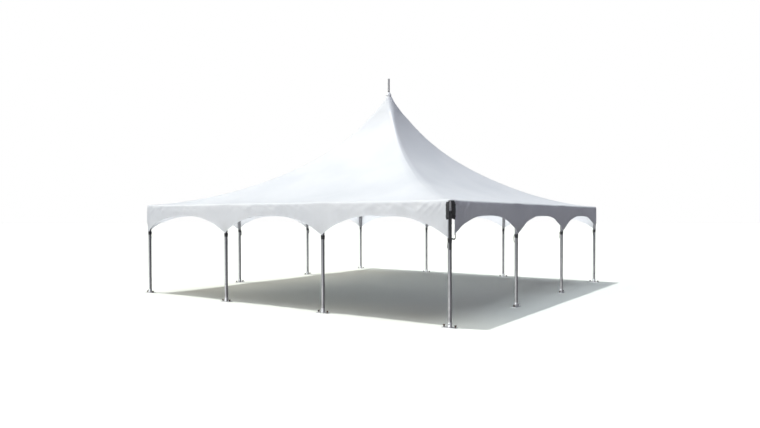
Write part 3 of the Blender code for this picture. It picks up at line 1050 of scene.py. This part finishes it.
def turnbuckleParts(low, high):     # two side bars between two blocks, with a screw and an eye at each end
    along, parts = moved(toward=(1, 0, 0)), []
    for sign in (-1, 1):
        bar = rodPart(0.0055, low + 0.035, high - 0.035, 0.001, 16)
        parts.append(laid(bar, moved((0, sign * 0.014, 0)) @ along, 1))
    for spot in (low + 0.042, high - 0.042):
        parts.append(laid(blockPart((0.030, 0.042, 0.018), 0.004, 3), moved((spot, 0, 0)), 1))
    for near, far in ((low + 0.006, low + 0.115), (high - 0.105, high - 0.002)):
        parts.append(laid(rodPart(0.0058, near, far, 0.001, 16), along))
    for spot in (low - 0.006, high + 0.010):
        parts.append(laid(ringPart(0.013, 0.0048, 24), moved((spot, 0, 0))))
    return parts


def makeCables():
    cable = cablePlan
    start, end = Vector(cable["start"]), Vector(cable["end"])
    long = (end - start).length
    low, high = cable["turnbuckle"]
    parts = [ropePart(high + 0.045, long - 0.075), *turnbuckleParts(low, high)]
    parts += shackleParts(0.006, low - 0.004)
    # thimbles: the rope's eyes at both ends, each with a pressed ferrule
    squeeze = Matrix.Rotation(math.pi / 2, 4, "X") @ Matrix.Diagonal((1.25, 1.0, 1.3, 1.0))
    for middle, sign in ((high + 0.034, 1), (long - 0.062, -1)):
        parts.append(laid(ringPart(cable["eye"], cable["bar"], 24), moved((middle, 0, 0)) @ squeeze))
        ferrule = tubePart(0.0105, cable["bar"], -0.018, 0.018, 0.003, 20)
        parts.append(laid(ferrule, moved((middle + sign * 0.042, 0, 0), (1, 0, 0)), 1))
    parts += shackleParts(long - 0.010, long - 0.052)
    places = atCorners(moved(start) @ (end - start).to_track_quat("X", "Z").to_matrix().to_4x4())
    showEach("stayCable", parts, [wire, zinc], "cable", places)


makeCables()


# Mast: hub on the four cables, tube with a flared head, cap and finial
mastPlan = {
    "hub": 0.085, "hubLow": 2.120, "hubHigh": 2.144, "socket": 0.037, "socketHigh": 2.244, "boltHigh": 2.205,
    "head": 0.072,          # radius of the flared head that the cloth lies on
    "capBolts": 0.0655,     # radius of the ring of the cap's bolts
    "top": 5.63, "spireTop": 6.0, "spire": 0.030,
}


def makeHub():
    mast = mastPlan
    low, high, wide, bore = mast["hubLow"], mast["socketHigh"], mast["socket"], plan["tube"] + plan["play"]
    plate = prismPart(8, mast["hub"] / math.cos(math.pi / 8) - 0.012, low + 0.004, low + 0.016, 0.002)
    socket = turnedPart([(bore, low + 0.012), (wide + 0.0015, low + 0.012), (wide, low + 0.020),
                         (wide, high - 0.010), (wide + 0.0018, high - 0.008), (wide + 0.0018, high - 0.001),
                         (wide + 0.0008, high), (bore, high)], 48)
    boss = turnedPart([(0, low), (0.028, low), (0.032, low + 0.006), (0, low + 0.006)], 32)
    weld = laid(ringPart(0.039, 0.004, 40), moved((0, 0, low + 0.0165)))
    parts = [laid(plate, moved(turn=math.pi / 8)), socket, boss, weld]
    for sign in (-1, 1):
        parts += boltParts((0, sign * (wide - 0.0005), mast["boltHigh"]), (0, sign, 0), 1)
    for quarter in range(4):
        spin = moved(turn=eighthTurn + quarter * math.pi / 2)
        parts.append(laid(blockPart((0.052, 0.010, 0.040), 0.003, 3), spin @ moved((0.062, 0, low + 0.0205))))
        rib = spin @ moved(turn=eighthTurn) @ moved((0.050, 0, low + 0.030))
        parts.append(laid(blockPart((0.036, 0.006, 0.036), 0.0015), rib))
    showPiece("mastHub", parts, [zinc, wire], ["mast_hub"])


def makeMast():
    mast, tube, throat = mastPlan, plan["tube"], canopyPlan["throat"]
    head, low = mast["head"], mast["hubHigh"]
    shoulder, neck = outerHeight(head) - 0.0155, outerHeight(throat) - 0.0185
    shaft = turnedPart([(0, low), (tube, low), (tube, shoulder - 0.11), (0.036, shoulder - 0.085),
                        (head - 0.001, shoulder - 0.018), (head, shoulder - 0.012), (head, shoulder),
                        (throat, neck), (tube, neck), (tube, mast["top"]), (0, mast["top"])], 48)
    weld = laid(ringPart(tube + 0.0008, 0.0016, 40), moved((0, 0, shoulder - 0.115)), 1)
    showPiece("mastTube", [shaft, weld], [legMetal, zinc], ["mast"])


def makeCap():
    mast, head, throat, bore = mastPlan, mastPlan["head"], canopyPlan["throat"], plan["tube"] + plan["play"]
    skirt, crown = outerHeight(head) + 0.0035, outerHeight(throat) + 0.0035
    collar = [(bore, 0.002), (bore, 0.050), (0.0365, 0.050), (0.038, 0.048), (0.038, 0.041), (0.0365, 0.038),
              (0.0375, 0.030), (0.046, 0.018), (0.056, 0.012)]
    rim = [(0.0775, 0.012), (0.0795, 0.008), (0.0785, 0.003)]
    parts = [turnedPart([(head, skirt), (throat, crown), *((radius, crown + rise) for radius, rise in collar),
                         *((radius, skirt + rise) for radius, rise in rim)], 64)]
    for x, y in circled(1.0, [math.tau * (i + 0.5) / 8 for i in range(8)]):
        spot = (mast["capBolts"] * x, mast["capBolts"] * y, (skirt + crown) / 2 + 0.0165)
        parts += boltParts(spot, (x, y, 0.45), 1, 0.006)
    showPiece("peakCap", parts, [capPaint, zinc], ["peak_cap"])


def makeFinial():
    mast, tube = mastPlan, plan["tube"]
    low, top, thin = mast["top"] + plan["play"], mast["spireTop"], mast["spire"]
    dome = [(x, top - thin + z) for x, z in circled(thin, [math.pi / 2 * i / 8 for i in range(8)])]
    foot = [(0, 0), (tube, 0), (tube + 0.0008, 0.001), (tube + 0.0008, 0.010), (tube, 0.012), (tube, 0.046),
            (thin + 0.0015, 0.060), (thin, 0.068)]
    parts = [turnedPart([*((radius, low + rise) for radius, rise in foot), *dome, (0, top)], 48)]
    for sign in (1, -1):
        parts += boltParts((sign * 0.0295, 0, low + 0.030), (sign, 0, 0), 1, 0.006)
    showPiece("finial", parts, [finialMetal, wire], ["spire"])


makeHub()
makeMast()
makeCap()
makeFinial()
print("cables, mast and peak made")


# Webbing: three straps on the split corner and their tail, which stands in for painted shade on the near leg,
# a tie round each leg and one at the split
strapPlan = {
    "width": 0.068, "thick": 0.0032, "lift": 0.0022, "high": 2.313,
    # each strap's name, middle and lower end
    "straps": (("front", (4.557, 0, 0), 1.97), ("right_1", (0, -4.571, 0), 1.982),
               ("right_2", (0, -4.502, 0), 1.97)),
    "buckles": (0.26, 0.86),        # shares of the strap's length
}


def eaveOut(height):        # how far out the cloth's face stands at a height near the eave
    cloth = canopyPlan
    drop = outerHeight(cloth["bendReach"]) - height
    if drop > bendDrop():
        return cloth["half"] - leanIn(drop - bendDrop())
    turned = math.acos(min(max(1 - drop / cloth["bendRadius"], -1.0), 1.0))
    return bendOut(math.sin(turned) / math.sin(cloth["bendTurn"]))


def foldedStrap(path, across, faces, width, thick, doubled, shift):     # a strap and its doubled part
    second = [point + shift * thick * 1.05 for point in path[doubled]]
    return [bandPart(path, across, faces, width, thick),
            bandPart(second, across, faces[doubled], width * 0.96, thick)]


def buckleParts(lie, width, tall, bar):     # a flat frame with one cross bar, in the X-Z plane, facing -Y
    parts = []
    for sign in (-1, 1):
        parts.append(laid(blockPart((bar, 0.004, tall), 0.0012), lie @ moved((sign * width / 2, 0, 0)), 1))
        rail = lie @ moved((0, 0, sign * (tall - bar) / 2))
        parts.append(laid(blockPart((width + bar, 0.004, bar), 0.0012), rail, 1))
    cross = rodPart(0.0028, -width / 2, width / 2, 0.0004, 12)
    return parts + [laid(cross, lie @ moved(toward=(1, 0, 0)), 1)]


def makeCornerStraps():
    strap, steps = strapPlan, 30
    for name, origin, low in strap["straps"]:
        across, out = ((1, 0, 0), (0, -1, 0)) if name == "front" else ((0, 1, 0), (1, 0, 0))
        origin, across, out = Vector(origin), Vector(across), Vector(out)
        path = []
        for share in [i / steps for i in range(steps + 1)]:
            height = strap["high"] + (low - strap["high"]) * share
            bow = 0.005 * math.sin(math.pi * share) + 0.003 * math.sin(5.0 * share)
            path.append(origin + up * height + out * (eaveOut(height) + strap["lift"] + bow))
        faces = [aheadOf(path, i).cross(across) for i in range(steps + 1)]
        faces = [face if face.dot(out) > 0 else -face for face in faces]
        parts = foldedStrap(path, across, faces, strap["width"], strap["thick"], slice(6, -1), -out)
        for share in strap["buckles"]:
            lie = moved(path[int(share * steps)] + out * 0.0035, turn=math.atan2(across.y, across.x))
            parts += buckleParts(lie, strap["width"] * 0.98, 0.040, 0.0055)
        showPiece("cornerStrap_" + name, parts, [webbing, blackened])


# The straps' spare length, a black tail that stands in for painted shade on the near leg's upper part: from a
# band under the near corner's fitting, down the leg over its tie
shadeTailPlan = {"width": 0.048, "thick": 0.0024, "turn": -57.0, "high": 2.105, "low": 1.42, "overTie": 1.60,
            "band": 2.095}


def onNearLeg(degrees):     # the near leg's centre and a level direction out of it
    turn = math.radians(degrees)
    return Vector((plan["half"], -plan["half"], 0)), Vector((math.cos(turn), math.sin(turn), 0))


def makeCornerTailAsShade():
    tail, tube, count = shadeTailPlan, plan["leg"], 54
    leg, way = onNearLeg(tail["turn"])
    aside = Vector((-way.y, way.x, 0))
    path = []
    for share in [i / count for i in range(count + 1)]:
        height = tail["high"] + (tail["low"] - tail["high"]) * share
        out = tube + 0.0042 + 0.0065 * hill(height, tail["overTie"], 0.07) + 0.010 * share ** 3 \
            + 0.0015 * math.sin(9 * share)
        path.append(leg + up * height + way * out + aside * 0.010 * math.sin(2.4 * share) * share)
    parts = foldedStrap(path, aside, [way] * len(path), tail["width"], tail["thick"], slice(-6, None), way)
    band = turnedPart([(tube + plan["play"], -0.022), (tube + 0.0028, -0.021), (tube + 0.0030, 0.021),
                       (tube + plan["play"], 0.022)], 48)
    parts.append(laid(band, moved(leg + up * tail["band"])))
    showPiece("cornerTailAsShade", parts, [webbing])


tiePlan = {     # two turns round each leg at the valance's tip, with a buckle and a tail inward
    "thick": 0.0028, "steps": 40,
    "turns": ((1.607, 0.052, 0.0022), (1.566, 0.03224, 0.0006)),        # each turn's height, width and slack
    "tailHigh": 1.615, "tailWidth": 0.025, "buckle": (0.034, 0.040, 0.005),
}


def makeLegTies():
    tie, tube = tiePlan, plan["leg"]
    for index, (name, spot) in enumerate(legSpots().items()):
        side, step = divmod(index, 3)
        inward = sideSpin(side) @ Vector((0, 1, 0)) if step else -spot.normalized()
        aside = Vector((-inward.y, inward.x, 0))
        parts = []
        for height, wide, slack in tie["turns"]:
            mid = tube + tie["thick"] / 2 + slack
            angles = [math.tau * i / tie["steps"] for i in range(tie["steps"] + 1)]
            ways = [Vector((x, y, 0)) for x, y in circled(1.0, angles)]
            path = [spot + up * (height + 0.003 * math.sin(angle * 2 + height * 40)) + way * mid
                    for angle, way in zip(angles, ways)]
            parts.append(bandPart(path, up, ways, wide, tie["thick"], capped=False))
        base = spot + inward * (tube + 0.006) + aside * 0.010
        tail = [base + up * (tie["tailHigh"] - 0.012 * i) + inward * (0.002 + 0.010 * math.sin(i * 0.28))
                + aside * 0.0012 * i for i in range(15)]
        parts.append(bandPart(tail, aside, inward, tie["tailWidth"], 0.002))
        place = spot + up * tie["turns"][0][0] + inward * (tube + 0.0075)
        parts += buckleParts(moved(place, turn=math.atan2(-inward.x, inward.y) + math.pi), *tie["buckle"])
        showPiece("legTie_" + name, parts, [webbing, wire])


tipPlan = {"width": 0.026, "thick": 0.003, "lift": 0.0036, "ring": 0.009, "turn": 18, "legHigh": 1.622}


def makeTipTie():       # from the right valance's tip at the split, down and round to the near corner's leg
    tie, cloth, out = tipPlan, canopyPlan, Vector((1, 0, 0))
    tip = hangPoint(1, cloth["rightStart"] + 0.019, cloth["tip"] - bendDrop() - 0.012)
    leg, way = onNearLeg(tie["turn"])
    end = leg + way * (plan["leg"] + 0.006) + up * tie["legHigh"]
    knots = [tip + Vector((tie["lift"], 0, -0.004)), tip + Vector((0.0045, -0.004, -0.048)),
             end + Vector((0.010, 0.045, -0.014)), end]
    path = [tip + Vector((tie["lift"], 0, 0.060 - 0.012 * i)) for i in range(5)]
    for share in [i / 14 for i in range(15)]:
        rest = 1 - share
        weights = (rest ** 3, 3 * share * rest ** 2, 3 * share * share * rest, share ** 3)
        path.append(sum((knot * weight for knot, weight in zip(knots, weights)), Vector()))
    across = [aheadOf(path, i).cross(out) for i in range(len(path))]
    ring = laid(ringPart(tie["ring"], 0.0022, 24, 8), moved(tip + out * 0.0055 + up * 0.030, out), 1)
    parts = [bandPart(path, across, out, tie["width"], tie["thick"]), ring]
    showPiece("tipTie", parts, [webbing, wire])


makeCornerStraps()
makeCornerTailAsShade()
makeLegTies()
makeTipTie()
print("webbing made")


# Stage: pale floor and plain backdrop, soft sun, bounce from a bright foreground, soft light from above and
# from both sides, and a strip lamp under each far eave that lights that valance's inner face
sunPlan = {
    "sun": {"way": (-0.65, -0.22, 2.33), "color": (1.0, 1.0, 1.0), "energy": 1.9, "angle": 1.6},
    "bounce": {"way": (-0.10, -1.0, -0.30), "color": (0.975, 0.987, 1.0), "energy": 2.12, "angle": 50.0},
    "overhead": {"way": (0.10, 0.05, 1.0), "color": (0.85, 0.925, 1.0), "energy": 1.48, "angle": 55.0},
    "left": {"way": (-1.0, -0.30, 0.75), "color": (1.0, 0.95, 0.82), "energy": 1.45, "angle": 50.0},
    "right": {"way": (1.0, -0.20, 0.35), "color": (0.92, 0.76, 1.0), "energy": 0.31, "angle": 60.0},
}
stripPlan = {
    "lamps": (("left", (-1, 0, 0), 17.0), ("back", (0, 1, 0), 9.0)),
    "long": 9.1, "tall": 0.25, "height": 1.95, "inset": 3.2, "spread": 45.0,
}
stagePlan = {
    "sky": (0.80, 0.86, 1.0, 1), "ground": (1.0, 1.0, 1.0, 1), "skyStrength": 0.01,
    "shineAbove": (0.25, 0.26, 0.28, 1), "shineBelow": (0.92, 0.93, 0.92, 1),       # what shiny things mirror
    "shineSide": (0.83, 0.55), "shineRight": 0.22, "shineLeft": 1.05,
    "backdrop": (1.0, 1.0, 1.0, 1), "floor": (0.955, 0.98, 0.915, 1), "floorRadius": 180,
}


def makeLight(name, kind, way, angle=None, **settings):
    data = bpy.data.lights.new(name, kind)
    if angle is not None:
        data.angle = math.radians(angle)
    for key, value in settings.items():
        setattr(data, key, value)
    light = linked(name, data)
    light.rotation_euler = Vector(way).to_track_quat("Z", "Y").to_euler()
    return light


def makeLights():
    for name, settings in sunPlan.items():
        makeLight(name, "SUN", **settings)
    for name, way, energy in stripPlan["lamps"]:
        way = Vector(way)
        strip = makeLight("strip_" + name, "AREA", -way, shape="RECTANGLE", size=stripPlan["long"],
                          size_y=stripPlan["tall"], spread=math.radians(stripPlan["spread"]), energy=energy)
        strip.location = way * stripPlan["inset"] + up * stripPlan["height"]
        strip.visible_camera = False
        strip.visible_glossy = False


def makeWorld():
    stage = stagePlan
    world = bpy.data.worlds.new("studio")
    bpy.context.scene.world = world
    world.use_nodes = True
    tree = world.node_tree
    facing = addNode(tree, "ShaderNodeTexCoord").outputs["Generated"]
    along, deep, height = addNode(tree, "ShaderNodeSeparateXYZ", {0: facing}).outputs
    rays = addNode(tree, "ShaderNodeLightPath").outputs
    side = worked(tree, "ADD", worked(tree, "MULTIPLY", along, stage["shineSide"][0]),
                  worked(tree, "MULTIPLY", deep, stage["shineSide"][1]))
    shineStrength = mapped(tree, side, -0.7, 0.6, stage["shineLeft"], stage["shineRight"])
    around = patched(tree, height, -0.05, 0.10, stage["ground"], stage["sky"])
    panels = patched(tree, height, -0.05, 0.10, stage["shineBelow"], stage["shineAbove"])
    light, shine, backdrop = (
        addNode(tree, "ShaderNodeBackground", {"Color": colour, "Strength": strength}).outputs[0]
        for colour, strength in ((around, stage["skyStrength"]), (panels, shineStrength),
                                 (stage["backdrop"], 1.0)))
    unseen = addNode(tree, "ShaderNodeMixShader", {0: rays["Is Glossy Ray"], 1: light, 2: shine}).outputs[0]
    both = addNode(tree, "ShaderNodeMixShader", {0: rays["Is Camera Ray"], 1: unseen, 2: backdrop}).outputs[0]
    setInputs(tree, tree.nodes["World Output"], {"Surface": both})


def floorLook(tree, place):
    pale = stagePlan["floor"]
    tone = patched(tree, noisy(tree, place, 0.4, 3), 0.3, 0.7, pale, tuple(value * 0.99 for value in pale))
    return {"Base Color": tone, "Roughness": 0.9}


def makeFloor():
    shape = bmesh.new()
    bmesh.ops.create_circle(shape, cap_ends=True, segments=96, radius=stagePlan["floorRadius"])
    mesh = meshOf("floor", shape)
    mesh.materials.append(makeLook("studioFloor", floorLook))
    floor = linked("floor", mesh)
    floor.visible_diffuse = False
    floor.visible_glossy = False
    floor.visible_shadow = False


makeLights()
makeWorld()
makeFloor()
bpy.context.scene.view_settings.view_transform = "Standard"
bpy.context.scene.view_settings.look = "None"
print("stage set")
